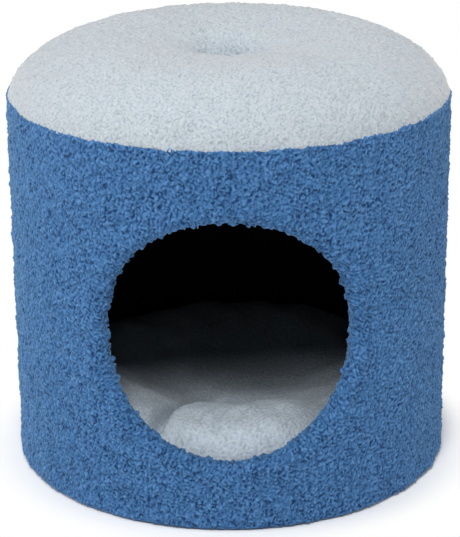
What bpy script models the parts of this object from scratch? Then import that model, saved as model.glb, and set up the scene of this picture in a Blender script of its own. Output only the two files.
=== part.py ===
"""Cat house: a plush-covered drum with one round entrance, a tufted crown and a loose nest cushion.

Metres, +Z up. The origin is the middle of the underside, and the entrance faces -Y.
The drum is a bent hardboard panel between two boards, padded and covered outside, lined inside.
"""

import math

import bmesh
import bpy
import numpy as np
from mathutils import Matrix, Vector

# Clearances
GAP = 0.0003                 # between pieces that touch
JOINT_GAP = 0.0008           # between the two ends of the bent panel
CUSHION_GAP = 0.005          # round the loose cushion, inside the entrance's rolled edge

# Drum
PANEL_RADIUS = 0.188         # outside of the bent hardboard
PANEL_THICK = 0.003
PANEL_HEIGHT = 0.332
BOARD_THICK = 0.012
FOAM_THICK = 0.0037
PILE_DEPTH = 0.0077          # plush with its backing
LINING_THICK = 0.002
SIDES = 48                   # flats round the drum
SMALL_SIDES = 16             # flats round the button, twine and washer
CUT_SIDES = 32               # flats round the hole for the entrance

# Underside
CLOTH_THICK = 0.001
CLOTH_MARGIN = 0.008         # how far the cloth stays inside the panel's outside
HEM_THICK = 0.0024           # plush with its pile trimmed, turned under the base
HEM_WIDTH = 0.050

# Edges of the plush
BASE_ROUNDING = 0.004
TOP_ROUNDING = 0.004
TURN_HEIGHT = 0.008          # how far the turned top edge stands over the panel

# Entrance, an oval cut in the flat sheet, which looks round once the sheet is bent
ENTRANCE_HALF_HEIGHT = 0.1085    # clear opening between the rolled edges
ENTRANCE_HALF_WIDTH = 0.1194     # the same along the flat sheet
ROLL_SLACK = 0.0011          # looseness of the plush where it is rolled into the entrance
FLANGE_WIDTH = 0.015         # plush turned onto the inside
ROLL_STEPS = 5
BLOCK_SHARE = 0.9            # half side of the grid square that the oval replaces, per its height
BLEND_SHARE = 0.5            # how far the next ring of points has gone back to the square grid

# Crown
CROWN_SETBACK = 0.0025       # crown's edge inside the blue pile
CROWN_RISE = 0.0552
CROWN_POWER = 3.6            # how square the shoulder is
CROWN_FALL = 1.6
CROWN_SPACING = 0.8          # below 1 the profile's points crowd towards the shoulder
DISH_RADIUS = 0.136          # shallow dish that the tuft pulls into the crown
DISH_DEPTH = 0.017
TUFT_RADIUS = 0.027          # the steep dimple round the button
TUFT_FOAM = 0.0056           # foam left under the tuft
CROWN_STEPS = 8
DIMPLE_STEPS = 5
SKIRT_THICK = 0.002          # edge of the crown cover, laid flat against the panel
SKIRT_DROP = 0.016
TACK_THICK = 0.0014
TACK_MARGIN = 0.0014         # tack strip inside the skirt's lower edge and the turned plush

# Tuft
BUTTON_RADIUS = 0.014
BUTTON_BACK = 0.012          # radius of the button's flat back
BUTTON_SIDE = 0.0024
BUTTON_DOME = 0.0056
BUTTON_BORE = 0.004          # blind hole for the twine
TWINE_RADIUS = 0.0012
WASHER_RADIUS = 0.010
WASHER_THICK = 0.0015
KNOT_RADIUS = 0.003
KNOT_END = 0.0018
KNOT_LENGTH = 0.0025

# Backing strip over the panel's butt joint
STRIP_THICK = 0.003
STRIP_FLATS = 1              # flats that it covers on each side of the joint

# Staples
STAPLE_WIDTH = 0.010
STAPLE_WIRE = 0.0012
STAPLE_CROWN = 0.0008
EDGE_LEG = 0.010
TACK_LEG = 0.013
CLOTH_LEG = 0.010
LEG_SHORT = 0.0008           # joint staples end this far inside the panel
EDGE_STAPLES = 8
JOINT_STAPLE_ROWS = 3

# Nest cushion, with heights over its own underside
CUSHION_CURVE = 0.022        # how far its underside is rounded at the edge
SEAM_RISE = 0.0264           # seam between its two covers
RIM_RISE = 0.0614
RIM_WIDTH = 0.032            # from the crest of the rim out to the seam
NEST_RISE = 0.0334
NEST_RADIUS = 0.045          # flat middle of the nest
NEST_PLUSH = 0.005
CUSHION_CLOTH = 0.0016
BOWL_STEPS = 5
EDGE_STEPS = 4

# Heights and radii that follow from the sizes above
HEM_LOW = CLOTH_THICK + GAP
PANEL_LOW = HEM_LOW + HEM_THICK + GAP
PANEL_HIGH = PANEL_LOW + PANEL_HEIGHT
PANEL_INNER = PANEL_RADIUS - PANEL_THICK
BASE_TOP = PANEL_LOW + BOARD_THICK
CEILING = PANEL_HIGH - BOARD_THICK
BOARD_RADIUS = PANEL_INNER - GAP
LINING_INNER = BOARD_RADIUS - LINING_THICK
FLOOR = BASE_TOP + GAP + LINING_THICK
FOAM_INNER = PANEL_RADIUS + GAP
FOAM_RADIUS = FOAM_INNER + FOAM_THICK
COVER_INNER = FOAM_RADIUS + GAP
PILE_RADIUS = COVER_INNER + PILE_DEPTH
HEM_INNER = PILE_RADIUS - HEM_WIDTH
CLOTH_RADIUS = PANEL_RADIUS - CLOTH_MARGIN
ENTRANCE_CENTRE = (FLOOR + CEILING) / 2
SKIRT_RADIUS = FOAM_INNER + SKIRT_THICK
SKIRT_LOW = PANEL_HIGH - SKIRT_DROP
TACK_RADIUS = SKIRT_RADIUS + GAP + TACK_THICK
SEAM_HEIGHT = PANEL_HIGH + TURN_HEIGHT
CROWN_BASE = SEAM_HEIGHT + GAP
CROWN_RADIUS = PILE_RADIUS - CROWN_SETBACK
CROWN_PILE = CROWN_RADIUS - FOAM_INNER + GAP    # its back runs straight down into the skirt
TUFT_LOW = PANEL_HIGH + 2 * GAP + TUFT_FOAM + CROWN_PILE
TUFT_DEPTH = CROWN_BASE + CROWN_RISE - DISH_DEPTH - TUFT_LOW
ROLL_CENTRE = (PANEL_INNER + FOAM_RADIUS) / 2
ROLL_CORE = COVER_INNER + ROLL_SLACK - ROLL_CENTRE
ROLL_RADIUS = PILE_RADIUS - ROLL_CENTRE
LIP_DISTANCE = ENTRANCE_HALF_HEIGHT + ROLL_RADIUS
FLANGE_DISTANCE = LIP_DISTANCE + FLANGE_WIDTH
TWINE_HOLE = TWINE_RADIUS + GAP
JOINT_LEG = STRIP_THICK + GAP + PANEL_THICK - LEG_SHORT
CUSHION_RADIUS = ROLL_CENTRE - ROLL_RADIUS - CUSHION_GAP
CUSHION_LOW = FLOOR + GAP
CUSHION_SEAM = CUSHION_LOW + SEAM_RISE
STEP = 2 * math.pi / SIDES
FLAT = math.cos(STEP / 2)    # a flat's distance from the axis, as a share of its corners' radius


def srgb(red, green, blue):
    """Linear colour of a screen colour given in 0 to 255."""
    shares = [value / 255 for value in (red, green, blue)]
    return tuple(s / 12.92 if s <= 0.04045 else ((s + 0.055) / 1.055) ** 2.4 for s in shares)


BLUE_PLUSH = srgb(70, 113, 158)
PALE_PLUSH = srgb(196, 205, 212)
NEST_PLUSH_COLOUR = srgb(170, 182, 196)
CHARCOAL = srgb(26, 27, 29)
HARDBOARD = srgb(120, 86, 58)
PLYWOOD = srgb(196, 164, 122)
STEEL = srgb(176, 178, 182)
FOAM_WHITE = srgb(232, 230, 220)
FIBRE_WHITE = srgb(238, 238, 236)
CARD = srgb(170, 140, 102)
TWINE = srgb(214, 206, 184)


def clear_scene():
    for item in list(bpy.data.objects):
        bpy.data.objects.remove(item, do_unlink=True)


def finish_of(name, colour, roughness, metallic=0.0):
    """A new Principled BSDF material."""
    material = bpy.data.materials.new(name)
    material.use_nodes = True
    shader = material.node_tree.nodes["Principled BSDF"]
    shader.inputs["Base Color"].default_value = (*colour, 1.0)
    shader.inputs["Roughness"].default_value = roughness
    shader.inputs["Metallic"].default_value = metallic
    material.diffuse_color = (*colour, 1.0)
    return material


def add_object(name, bm, material=None, smooth=30.0):
    """Put a bmesh into a new object with outward faces, shaded smooth up to an angle in degrees."""
    bmesh.ops.recalc_face_normals(bm, faces=bm.faces)
    mesh = bpy.data.meshes.new(name)
    bm.to_mesh(mesh)
    bm.free()
    mesh.shade_smooth()
    mesh.set_sharp_from_angle(angle=math.radians(smooth))
    item = bpy.data.objects.new(name, mesh)
    bpy.context.scene.collection.objects.link(item)
    if material:
        mesh.materials.append(material)
    return item


def add_cutter(name, bm):
    item = add_object(name, bm)
    item.hide_render = True
    item.display_type = "WIRE"
    return item


def cut(item, cutter):
    modifier = item.modifiers.new(cutter.name, "BOOLEAN")
    modifier.operation = "DIFFERENCE"
    modifier.solver = "EXACT"
    modifier.object = cutter


def turned(name, profile, material, first=0.0, last=None, sides=SIDES):
    """Turn a profile of (radius, height) points about the Z axis, from the angle first to last.

    Angles start at the front and grow towards +X. A profile that starts and ends on the axis is
    left open there. With no last angle the piece is a full turn, and otherwise its ends are closed.
    """
    bm = bmesh.new()
    points = [bm.verts.new((r * math.sin(first), -r * math.cos(first), z)) for r, z in profile]
    pairs = list(zip(points, points[1:]))
    if profile[0][0] > 0 or profile[-1][0] > 0:
        pairs.append((points[-1], points[0]))
    edges = [bm.edges.new(pair) for pair in pairs]
    full = last is None
    angle = 2 * math.pi if full else last - first
    steps = max(1, round(angle / (2 * math.pi / sides)))
    bmesh.ops.spin(
        bm, geom=points + edges, cent=(0, 0, 0), axis=(0, 0, 1), angle=angle, steps=steps
    )
    if full:
        bmesh.ops.remove_doubles(bm, verts=bm.verts, dist=1e-6)
    else:
        rim = [edge for edge in bm.edges if edge.is_boundary]
        bmesh.ops.holes_fill(bm, edges=rim, sides=len(profile))
    return add_object(name, bm, material)


def band(inner, outer, low, high):
    """Rectangular profile of a ring or, with inner 0, of a disc."""
    return [(inner, low), (outer, low), (outer, high), (inner, high)]


def on_drum(radius, across, height):
    """Point on the drum: across is the distance along the pile surface from the front."""
    angle = across / PILE_RADIUS
    return (radius * math.sin(angle), -radius * math.cos(angle), height)


def oval(turn, distance):
    """Point at an angle round the entrance's middle, as (across, up) in the flat sheet.

    Distance is half the oval's height. Each oval is wider than it is high by the same amount.
    """
    wide = distance + ENTRANCE_HALF_WIDTH - ENTRANCE_HALF_HEIGHT
    return Vector((wide * math.cos(turn), distance * math.sin(turn)))


def entrance_cutter(name, distance, inner, outer):
    """Radial prism whose outline is an oval in the flat sheet, bent round the drum.

    It has a loop of points at both faces of the wall it cuts and one well clear on each side.
    """
    bm = bmesh.new()
    clear = 2 * PILE_DEPTH
    loops = []
    for radius in (inner - clear, inner, outer, outer + clear):
        loop = []
        for k in range(CUT_SIDES):
            place = oval(2 * math.pi * k / CUT_SIDES, distance)
            loop.append(bm.verts.new(on_drum(radius, place.x, ENTRANCE_CENTRE + place.y)))
        loops.append(loop)
    for near, far in zip(loops, loops[1:]):
        for k in range(CUT_SIDES):
            n = (k + 1) % CUT_SIDES
            bm.faces.new((near[k], near[n], far[n], far[k]))
    for loop, radius in ((loops[0], inner - clear), (loops[-1], outer + clear)):
        middle = bm.verts.new(on_drum(radius, 0, ENTRANCE_CENTRE))
        for k in range(CUT_SIDES):
            bm.faces.new((loop[k], loop[(k + 1) % CUT_SIDES], middle))
    return add_cutter(name, bm)


def staple_outline(leg, grow, lift):
    """U outline of a staple as (across, deep) points, grown by a clearance and lifted at the crown."""
    half = STAPLE_WIDTH / 2
    wire = STAPLE_WIRE
    deep = leg + grow
    inner = half - wire - grow
    under = STAPLE_CROWN + grow
    return [
        (-half - grow, -lift), (half + grow, -lift), (half + grow, deep), (inner, deep),
        (inner, under), (-inner, under), (-inner, deep), (-half - grow, deep),
    ]


def staple_bodies(seats, leg, grow=0.0, lift=0.0):
    """One extruded U for each seat, a matrix whose X is across, Y is into the work, Z is thick."""
    bm = bmesh.new()
    half = STAPLE_WIRE / 2 + grow
    outline = staple_outline(leg, grow, lift)
    for seat in seats:
        near = [bm.verts.new(seat @ Vector((x, y, -half))) for x, y in outline]
        face = bm.faces.new(near)
        swept = bmesh.ops.extrude_face_region(bm, geom=[face])
        moved = [v for v in swept["geom"] if isinstance(v, bmesh.types.BMVert)]
        bmesh.ops.translate(bm, verts=moved, vec=seat.to_3x3() @ Vector((0, 0, 2 * half)))
    return bm


def seat_at(origin, across, deep):
    thick = across.cross(deep)
    turn = Matrix((across, deep, thick)).transposed().to_4x4()
    return Matrix.Translation(origin) @ turn


def wall_seat(angle, radius, height, upright=False):
    """Seat on a flat of the drum: radius is that of the flat's corners."""
    out = Vector((math.sin(angle), -math.cos(angle), 0))
    side = Vector((math.cos(angle), math.sin(angle), 0))
    up = Vector((0, 0, 1))
    return seat_at(out * radius * FLAT + up * height, up if upright else side, -out)


def base_seat(angle):
    out = Vector((math.sin(angle), -math.cos(angle), 0))
    side = Vector((math.cos(angle), math.sin(angle), 0))
    radius = (HEM_INNER + CLOTH_RADIUS) / 2
    return seat_at(out * radius + Vector((0, 0, GAP)), side, Vector((0, 0, 1)))


def flats_near(first, count):
    """Middles of the flats nearest to equally spaced angles."""
    angles = [first + 2 * math.pi * k / count for k in range(count)]
    return [(math.floor(angle / STEP) + 0.5) * STEP for angle in angles]


def stapled(name, seats, leg, works):
    """Numbered staples, one for each seat, and the slots that they need in the pieces of the work."""
    for number, seat in enumerate(seats, 1):
        material = finish_of(f"{name}_wire_{number}", STEEL, 0.35, 1.0)
        add_object(f"{name}_{number}", staple_bodies([seat], leg), material)
    slots = add_cutter(name + "_slots", staple_bodies(seats, leg, GAP, STAPLE_WIRE))
    for work in works:
        cut(work, slots)


def crown_height(radius, inset):
    """Height of the crown's surface: a rounded-square dome, less a shallow dish and a steep tuft."""
    share = np.clip(radius / (CROWN_RADIUS - inset), 0, 1)
    dome = (CROWN_RISE - inset) * (1 - share ** CROWN_POWER) ** (1 / CROWN_FALL)
    dish = DISH_DEPTH * np.clip(1 - (radius / DISH_RADIUS) ** 2, 0, None) ** 2
    tuft = TUFT_DEPTH / (1 + (radius / TUFT_RADIUS) ** 6)
    return CROWN_BASE + dome - dish - tuft


def crown_profile(inset):
    """Points of the crown's surface from the twine hole out to the edge, closer at the shoulder."""
    edge = CROWN_RADIUS - inset
    dimple = np.linspace(BUTTON_RADIUS, 2 * TUFT_RADIUS, DIMPLE_STEPS)
    first = math.asin((dimple[-1] / edge) ** (1 / CROWN_SPACING))
    turn = np.linspace(first, math.pi / 2, CROWN_STEPS)[1:]
    radius = np.concatenate([[TWINE_HOLE], dimple, edge * np.sin(turn) ** CROWN_SPACING])
    height = crown_height(radius, inset)
    return list(zip(radius.tolist(), height.tolist()))


def nest_profile(inset, low):
    """Upper surface of the cushion from its middle to the edge at the seam: a dish with a high rim."""
    edge = CUSHION_RADIUS - inset
    crest = CUSHION_RADIUS - RIM_WIDTH
    nest = CUSHION_LOW + NEST_RISE - inset
    rim = CUSHION_LOW + RIM_RISE - inset
    inner = np.linspace(NEST_RADIUS, crest, BOWL_STEPS)
    bowl = nest + (rim - nest) * (1 - np.cos(np.linspace(0, math.pi, BOWL_STEPS))) / 2
    turn = np.linspace(0, math.pi / 2, EDGE_STEPS)[1:]
    outer = crest + (edge - crest) * np.sin(turn)
    fall = low + (rim - low) * np.cos(turn)
    points = [(0.0, nest)] + list(zip(inner.tolist(), bowl.tolist()))
    return points + list(zip(outer.tolist(), fall.tolist()))


def base_profile(inset, high):
    """Underside of the cushion from its middle to the seam: flat, then a quarter of an ellipse."""
    low = CUSHION_LOW + inset
    flat = CUSHION_RADIUS - CUSHION_CURVE
    turn = np.linspace(0, math.pi / 2, EDGE_STEPS)
    radius = flat + (CUSHION_CURVE - inset) * np.sin(turn)
    height = high - (high - low) * np.cos(turn)
    return [(0.0, low)] + list(zip(radius.tolist(), height.tolist()))


def cover_sections():
    """Rows of the wall cover below and above the entrance's rows.

    Each row is (pile radius, pile height, back radius, back height).
    """
    corner = PILE_RADIUS - BASE_ROUNDING
    hem_top = HEM_LOW + HEM_THICK
    turn = math.pi / 4
    reach = math.sin(turn)
    below = [
        (HEM_INNER, HEM_LOW, HEM_INNER, hem_top),
        (corner, HEM_LOW, COVER_INNER - BASE_ROUNDING, hem_top),
        (
            corner + BASE_ROUNDING * reach,
            HEM_LOW + BASE_ROUNDING * (1 - reach),
            COVER_INNER,
            hem_top,
        ),
        (PILE_RADIUS, HEM_LOW + BASE_ROUNDING, COVER_INNER, HEM_LOW + BASE_ROUNDING),
    ]
    edge = PILE_RADIUS - TOP_ROUNDING
    start = SEAM_HEIGHT - TOP_ROUNDING
    above = [
        (PILE_RADIUS, start, COVER_INNER, start),
        (
            edge + TOP_ROUNDING * reach,
            start + TOP_ROUNDING * reach,
            COVER_INNER,
            start + TOP_ROUNDING / 2,
        ),
        (edge, SEAM_HEIGHT, COVER_INNER, SEAM_HEIGHT - GAP),
    ]
    return below, above


def let_in(column, row, half, pitch):
    """Place of a grid point in the flat sheet, as (across, up) from the entrance's middle.

    The square block of half cells each way becomes the entrance's oval, the next ring of
    points lies between that oval and the square grid, and the rest stay on the grid.
    """
    ring = max(abs(column), abs(row))
    square = Vector((column * pitch, row * pitch))
    if ring > half + 1:
        return square
    if abs(column) >= abs(row):
        turn = math.pi / 4 * row / column + (math.pi if column < 0 else 0)
    else:
        turn = math.pi / 2 - math.pi / 4 * column / row + (math.pi if row < 0 else 0)
    if ring == half:
        return oval(turn, LIP_DISTANCE)
    return oval(turn, LIP_DISTANCE + pitch).lerp(square, BLEND_SHARE)


def wall_cover(material):
    """Blue plush in one sheet: hem, rounded base edge, wall, turned top edge and rolled entrance."""
    pitch = PILE_RADIUS * STEP
    half = max(2, round(BLOCK_SHARE * LIP_DISTANCE / pitch))
    below, above = cover_sections()
    lowest = math.ceil((below[-1][1] + pitch / 2 - ENTRANCE_CENTRE) / pitch)
    highest = math.floor((above[0][1] - pitch / 2 - ENTRANCE_CENTRE) / pitch)
    bm = bmesh.new()

    def pair(pile, back):
        return (bm.verts.new(pile), bm.verts.new(back))

    def wall_point(column, row):
        place = let_in(column, row, half, pitch)
        near = max(abs(column), abs(row)) <= half + 2
        back = COVER_INNER + (ROLL_SLACK if near else 0)
        height = ENTRANCE_CENTRE + place.y
        return pair(on_drum(PILE_RADIUS, place.x, height), on_drum(back, place.x, height))

    columns = [k - SIDES // 2 for k in range(SIDES)]
    grid = []
    for pile_r, pile_z, back_r, back_z in below:
        row = [
            pair(on_drum(pile_r, c * pitch, pile_z), on_drum(back_r, c * pitch, back_z))
            for c in columns
        ]
        grid.append(row)
    for r in range(lowest, highest + 1):
        inside = [max(abs(c), abs(r)) < half for c in columns]
        row = [None if hole else wall_point(c, r) for c, hole in zip(columns, inside)]
        grid.append(row)
    for pile_r, pile_z, back_r, back_z in above:
        row = [
            pair(on_drum(pile_r, c * pitch, pile_z), on_drum(back_r, c * pitch, back_z))
            for c in columns
        ]
        grid.append(row)

    def skin(a, b, c, d):
        for side in (0, 1):
            bm.faces.new((a[side], b[side], c[side], d[side]))

    def edge(a, b):
        bm.faces.new((a[0], b[0], b[1], a[1]))

    for line, (row, upper) in enumerate(zip(grid, grid[1:]), lowest - len(below)):
        for k in range(SIDES):
            n = (k + 1) % SIDES
            if max(abs(columns[k] + 0.5), abs(line + 0.5)) > half:
                skin(row[k], row[n], upper[n], upper[k])
    for k in range(SIDES):
        n = (k + 1) % SIDES
        edge(grid[0][k], grid[0][n])
        edge(grid[-1][k], grid[-1][n])

    first = len(below) - lowest
    mid = SIDES // 2
    ring = [grid[first + r][mid + half] for r in range(-half, half)]
    ring += [grid[first + half][mid + c] for c in range(half, -half, -1)]
    ring += [grid[first + r][mid - half] for r in range(half, -half, -1)]
    ring += [grid[first - half][mid + c] for c in range(-half, half)]
    turns = [2 * math.pi * (k / len(ring) - 1 / 8) for k in range(len(ring))]

    def lip_ring(roll, distance):
        """Ring of the rolled edge: roll is the angle turned round it, 0 on the outside."""
        made = []
        for turn in turns:
            points = []
            for size in (ROLL_RADIUS, ROLL_CORE):
                place = oval(turn, distance - size * math.sin(roll))
                radius = ROLL_CENTRE + size * math.cos(roll)
                points.append(on_drum(radius, place.x, ENTRANCE_CENTRE + place.y))
            made.append(pair(*points))
        return made

    rings = [ring]
    for k in range(1, ROLL_STEPS + 1):
        rings.append(lip_ring(math.pi * k / ROLL_STEPS, LIP_DISTANCE))
    rings.append(lip_ring(math.pi, FLANGE_DISTANCE))
    for outer, inner in zip(rings, rings[1:]):
        for k in range(len(ring)):
            n = (k + 1) % len(ring)
            skin(outer[k], outer[n], inner[n], inner[k])
    for k in range(len(ring)):
        edge(rings[-1][k], rings[-1][(k + 1) % len(ring)])
    return add_object("wall_cover", bm, material, smooth=50.0)


def drum_frame():
    """Bent panel, its backing strip and the two boards."""
    hardboard = finish_of("hardboard", HARDBOARD, 0.7)
    open_half = JOINT_GAP / 2 / PANEL_RADIUS
    panel = turned(
        "wall_panel",
        band(PANEL_INNER, PANEL_RADIUS, PANEL_LOW, PANEL_HIGH),
        hardboard,
        -math.pi + open_half,
        math.pi - open_half,
    )
    strip_half = STRIP_FLATS * STEP
    strip = turned(
        "joint_strip",
        band(FOAM_INNER, FOAM_INNER + STRIP_THICK, PANEL_LOW, SKIRT_LOW - GAP),
        finish_of("strip_hardboard", HARDBOARD, 0.7),
        math.pi - strip_half,
        math.pi + strip_half,
    )
    base = turned(
        "base_board", band(0, BOARD_RADIUS, PANEL_LOW, BASE_TOP), finish_of("plywood", PLYWOOD, 0.6)
    )
    recess = CEILING + WASHER_THICK + KNOT_LENGTH + 3 * GAP
    sleeve = WASHER_RADIUS + GAP
    top_profile = [
        (TWINE_HOLE, recess), (sleeve, recess), (sleeve, CEILING), (BOARD_RADIUS, CEILING),
        (BOARD_RADIUS, PANEL_HIGH), (TWINE_HOLE, PANEL_HIGH),
    ]
    top = turned("top_board", top_profile, finish_of("top_plywood", PLYWOOD, 0.6))
    return panel, strip, base, top


def padding_and_lining():
    """Wall foam, which stops at the backing strip, and the three linings."""
    stop = math.pi - STRIP_FLATS * STEP - GAP / FOAM_INNER
    foam = turned(
        "wall_foam",
        band(FOAM_INNER, FOAM_RADIUS, PANEL_LOW, SKIRT_LOW - GAP),
        finish_of("wall_foam", FOAM_WHITE, 0.9),
        -stop,
        stop,
    )
    lining = turned(
        "wall_lining",
        band(LINING_INNER, BOARD_RADIUS, BASE_TOP + GAP, CEILING - GAP),
        finish_of("wall_lining", CHARCOAL, 0.9),
    )
    turned(
        "floor_lining",
        band(0, LINING_INNER - GAP, BASE_TOP + GAP, FLOOR),
        finish_of("floor_lining", CHARCOAL, 0.9),
    )
    turned(
        "ceiling_lining",
        band(0, LINING_INNER - GAP, CEILING - GAP - LINING_THICK, CEILING - GAP),
        finish_of("ceiling_lining", CHARCOAL, 0.9),
    )
    return foam, lining


def crown():
    """Foam dome, plush cover with its skirt, and the cardboard strip that back-tacks it."""
    inset = CROWN_PILE + GAP
    foam_edge = CROWN_RADIUS - inset
    foam_low = PANEL_HIGH + GAP
    foam_profile = [(TWINE_HOLE, foam_low), (foam_edge, foam_low)]
    foam_profile += reversed(crown_profile(inset))
    turned("top_foam", foam_profile, finish_of("top_foam", FOAM_WHITE, 0.9))
    cover_profile = crown_profile(0.0)
    cover_profile += [(SKIRT_RADIUS, CROWN_BASE - GAP * 0.5), (SKIRT_RADIUS, SKIRT_LOW)]
    cover_profile += [(FOAM_INNER, SKIRT_LOW)]
    cover_profile += reversed(crown_profile(CROWN_PILE))
    cover = turned("top_cover", cover_profile, finish_of("pale_plush", PALE_PLUSH, 0.95))
    tack_profile = band(
        SKIRT_RADIUS + GAP, TACK_RADIUS, SKIRT_LOW + TACK_MARGIN, SEAM_HEIGHT - TACK_MARGIN
    )
    strip = turned("tack_strip", tack_profile, finish_of("card", CARD, 0.8))
    return cover, strip


def tuft():
    """Covered button on the crown, twine down through the top board, washer and knot in its recess."""
    low = float(crown_height(np.array([BUTTON_RADIUS]), 0.0)[0]) + GAP
    blind = low + BUTTON_BORE
    button_profile = [(0.0, blind), (TWINE_HOLE, blind), (TWINE_HOLE, low), (BUTTON_BACK, low)]
    for turn in np.linspace(0, math.pi / 2, 4)[:-1]:
        height = low + BUTTON_SIDE + BUTTON_DOME * math.sin(turn)
        button_profile.append((BUTTON_RADIUS * math.cos(turn), height))
    button_profile.append((0.0, low + BUTTON_SIDE + BUTTON_DOME))
    plush = finish_of("button_plush", PALE_PLUSH, 0.95)
    turned("tuft_button", button_profile, plush, sides=SMALL_SIDES)
    knot_low = CEILING + GAP
    knot_top = knot_low + KNOT_LENGTH
    washer_profile = band(
        TWINE_HOLE, WASHER_RADIUS, knot_top + GAP, knot_top + GAP + WASHER_THICK
    )
    steel = finish_of("washer", STEEL, 0.35, 1.0)
    turned("tuft_washer", washer_profile, steel, sides=SMALL_SIDES)
    twine_profile = [
        (0.0, knot_low), (KNOT_END, knot_low), (KNOT_RADIUS, knot_low + KNOT_LENGTH / 2),
        (KNOT_END, knot_top), (TWINE_RADIUS, knot_top), (TWINE_RADIUS, blind - GAP),
        (0.0, blind - GAP),
    ]
    turned("tuft_twine", twine_profile, finish_of("twine", TWINE, 0.8), sides=SMALL_SIDES)


def cushion():
    """Nest cushion: plush top cover and cloth base cover, sewn at a seam, over one filling."""
    half = GAP / 2
    top = nest_profile(0.0, CUSHION_SEAM + half)
    top += reversed(nest_profile(NEST_PLUSH, CUSHION_SEAM + half))
    turned("cushion_top_cover", top, finish_of("nest_plush", NEST_PLUSH_COLOUR, 0.95))
    base = base_profile(0.0, CUSHION_SEAM - half)
    base += reversed(base_profile(CUSHION_CLOTH, CUSHION_SEAM - half))
    turned("cushion_base_cover", base, finish_of("base_cloth", CHARCOAL, 0.9))
    fill = base_profile(CUSHION_CLOTH + GAP, CUSHION_SEAM - half)
    fill += reversed(nest_profile(NEST_PLUSH + GAP, CUSHION_SEAM - half))
    turned("cushion_filling", fill, finish_of("fibre", FIBRE_WHITE, 0.95))


def main():
    clear_scene()
    panel, strip, base, top = drum_frame()
    foam, lining = padding_and_lining()
    crown_cover, tack = crown()
    tuft()
    cushion()
    plush_wall = wall_cover(finish_of("blue_plush", BLUE_PLUSH, 0.95))
    cloth = turned(
        "underside_cloth", band(0, CLOTH_RADIUS, 0, CLOTH_THICK), finish_of("cloth", CHARCOAL, 0.85)
    )

    shell_cut = entrance_cutter("entrance_cut", LIP_DISTANCE + GAP, PANEL_INNER, FOAM_RADIUS)
    cut(panel, shell_cut)
    cut(foam, shell_cut)
    flange_cut = FLANGE_DISTANCE + 2 * GAP
    cut(lining, entrance_cutter("lining_cut", flange_cut, LINING_INNER, BOARD_RADIUS))

    flats = flats_near(STEP / 2, EDGE_STAPLES)
    between = flats_near(STEP / 2 + math.pi / EDGE_STAPLES, EDGE_STAPLES)
    low = PANEL_LOW + BOARD_THICK / 2
    high = PANEL_HIGH - BOARD_THICK / 2
    seats = [wall_seat(a, PANEL_RADIUS, low) for a in flats]
    stapled("base_staple", seats, EDGE_LEG, (panel, base))
    seats = [wall_seat(a, PANEL_RADIUS, high) for a in flats]
    stapled("top_staple", seats, EDGE_LEG, (panel, top))
    seats = [wall_seat(a, TACK_RADIUS, high) for a in between]
    stapled("tack_staple", seats, TACK_LEG, (tack, crown_cover, panel, top))
    rise = (SKIRT_LOW - PANEL_LOW) / JOINT_STAPLE_ROWS
    outside = FOAM_INNER + STRIP_THICK
    seats = [
        wall_seat(math.pi + side * STEP / 2, outside, PANEL_LOW + rise * (k + 0.5), True)
        for side in (-1, 1)
        for k in range(JOINT_STAPLE_ROWS)
    ]
    stapled("joint_staple", seats, JOINT_LEG, (strip, panel))
    seats = [base_seat(a) for a in between]
    stapled("underside_staple", seats, CLOTH_LEG, (cloth, plush_wall, base))


main()
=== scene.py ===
"""Looks of the cat house: curled plush, linings, nest cushion, frame finishes and a plain studio.

Metres, +Z up, the entrance towards -Y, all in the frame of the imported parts. Each soft piece is a
surface worked out with numpy on a grid, with its curled pile as real relief.
"""

import math

import bpy
import numpy as np
from bpy.props import FloatProperty, FloatVectorProperty, IntProperty, PointerProperty
from mathutils import Matrix, Vector


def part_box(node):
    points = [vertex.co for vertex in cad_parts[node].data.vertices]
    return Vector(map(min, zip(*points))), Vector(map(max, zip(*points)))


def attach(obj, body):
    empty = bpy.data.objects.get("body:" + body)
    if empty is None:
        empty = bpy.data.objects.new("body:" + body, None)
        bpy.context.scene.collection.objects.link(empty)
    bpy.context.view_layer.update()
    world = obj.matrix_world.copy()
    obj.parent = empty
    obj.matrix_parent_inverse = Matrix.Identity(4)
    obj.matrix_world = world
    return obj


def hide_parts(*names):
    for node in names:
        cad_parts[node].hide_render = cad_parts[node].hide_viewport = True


bl_info = {
    "name": "Cat House Looks",
    "version": (1, 0, 0),
    "blender": (4, 5, 0),
    "location": "View3D > Sidebar > Cat House",
    "description": "Dresses a cat house in plush, cloth and wood finishes, and lights it",
    "category": "Object",
}

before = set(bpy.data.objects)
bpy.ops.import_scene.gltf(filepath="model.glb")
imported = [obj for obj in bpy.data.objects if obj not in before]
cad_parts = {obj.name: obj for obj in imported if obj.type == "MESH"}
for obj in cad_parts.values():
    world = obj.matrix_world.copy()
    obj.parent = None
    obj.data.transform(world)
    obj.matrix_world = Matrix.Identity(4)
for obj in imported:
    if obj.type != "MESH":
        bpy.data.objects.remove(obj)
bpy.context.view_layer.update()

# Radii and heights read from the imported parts
PILE_RADIUS, _, SEAM_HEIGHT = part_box("wall_cover")[1]
HEM_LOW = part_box("wall_cover")[0].z
PANEL_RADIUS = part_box("wall_panel")[1].x
FOAM_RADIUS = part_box("wall_foam")[1].x
LINING_OUTER, _, LINING_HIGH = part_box("wall_lining")[1]
LINING_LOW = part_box("wall_lining")[0].z
LINING_DISC, _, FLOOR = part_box("floor_lining")[1]
CEILING_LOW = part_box("ceiling_lining")[0].z
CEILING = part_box("top_board")[0].z
CROWN_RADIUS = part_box("top_cover")[1].x
BUTTON_RADIUS, _, BUTTON_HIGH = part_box("tuft_button")[1]
BUTTON_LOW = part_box("tuft_button")[0].z
CLOTH_RADIUS, _, CLOTH_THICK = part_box("underside_cloth")[1]
CUSHION_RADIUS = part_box("cushion_top_cover")[1].x
CUSHION_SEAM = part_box("cushion_top_cover")[0].z
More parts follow.
